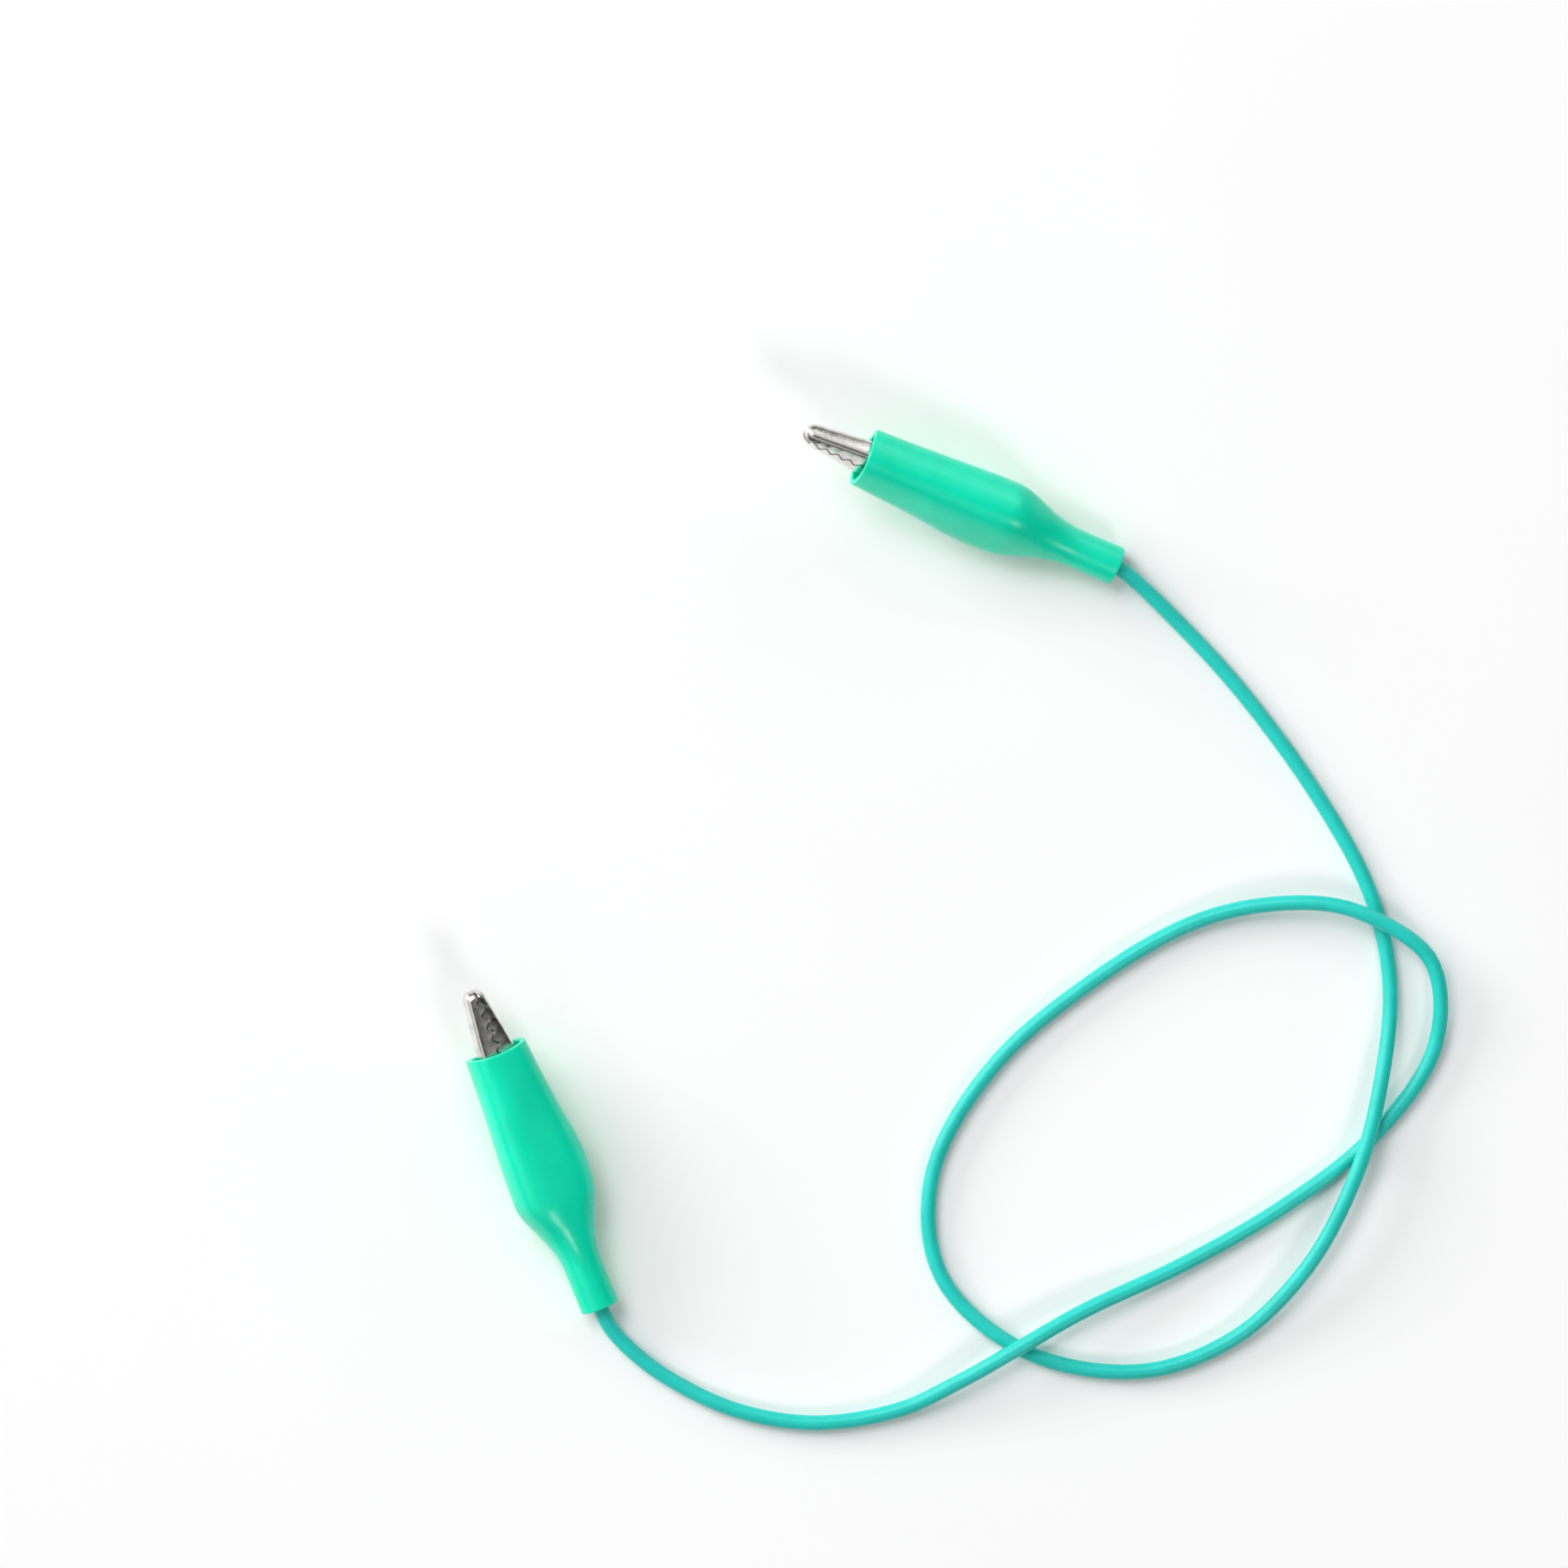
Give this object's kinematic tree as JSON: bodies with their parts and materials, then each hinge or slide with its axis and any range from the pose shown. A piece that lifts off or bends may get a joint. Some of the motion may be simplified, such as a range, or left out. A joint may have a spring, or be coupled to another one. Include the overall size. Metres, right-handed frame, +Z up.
{
  "type": "alligator clip lead",
  "caption": "Flexible insulated test lead with a sprung, toothed alligator clip in a soft green sleeve at each end, tied in one loose overhand knot.",
  "frame": {"origin": "on the surface that the lead lies on, under the middle of the box round the two clips, wire left out", "axes": "+Z up from the surface; +X from clip A towards clip B's side, +Y from clip A towards clip B, as the lead lies"},
  "size_m": [0.123, 0.1257, 0.0127],
  "materials": {
    "nickel": "bright nickel plate on stamped steel",
    "spring_steel": "drawn spring wire",
    "copper": "bare copper strands",
    "boot_green": "glossy soft moulded sleeve",
    "wire_teal": "smooth soft extruded insulation"
  },
  "bodies": {
    "lead": {"fixed_jaw_a": "nickel", "rivet_a": "nickel", "torsion_spring_a": "spring_steel", "boot_a": "boot_green", "conductor_end_a": "copper", "fixed_jaw_b": "nickel", "rivet_b": "nickel", "torsion_spring_b": "spring_steel", "boot_b": "boot_green", "conductor_end_b": "copper", "wire_jacket": "wire_teal"},
    "jaw_a": {"moving_jaw_a": "nickel"},
    "jaw_b": {"moving_jaw_b": "nickel"}
  },
  "joints": [
    {"name": "jaw_hinge_a", "type": "hinge", "parent": "lead", "child": "jaw_a", "pos_m": [-0.0338, -0.0307, 0.00583], "axis": [0.3927, 0.0281, 0.9193], "range_deg": [0, 22], "stiffness_Nm_per_rad": 0.065, "springref_deg": -34.38, "deforming": ["torsion_spring_a", "boot_a"]},
    {"name": "jaw_hinge_b", "type": "hinge", "parent": "lead", "child": "jaw_b", "pos_m": [0.0167, 0.0478, 0.00713], "axis": [0.2425, 0.8184, -0.521], "range_deg": [0, 22], "stiffness_Nm_per_rad": 0.065, "springref_deg": -34.38, "deforming": ["torsion_spring_b", "boot_b"]}
  ]
}
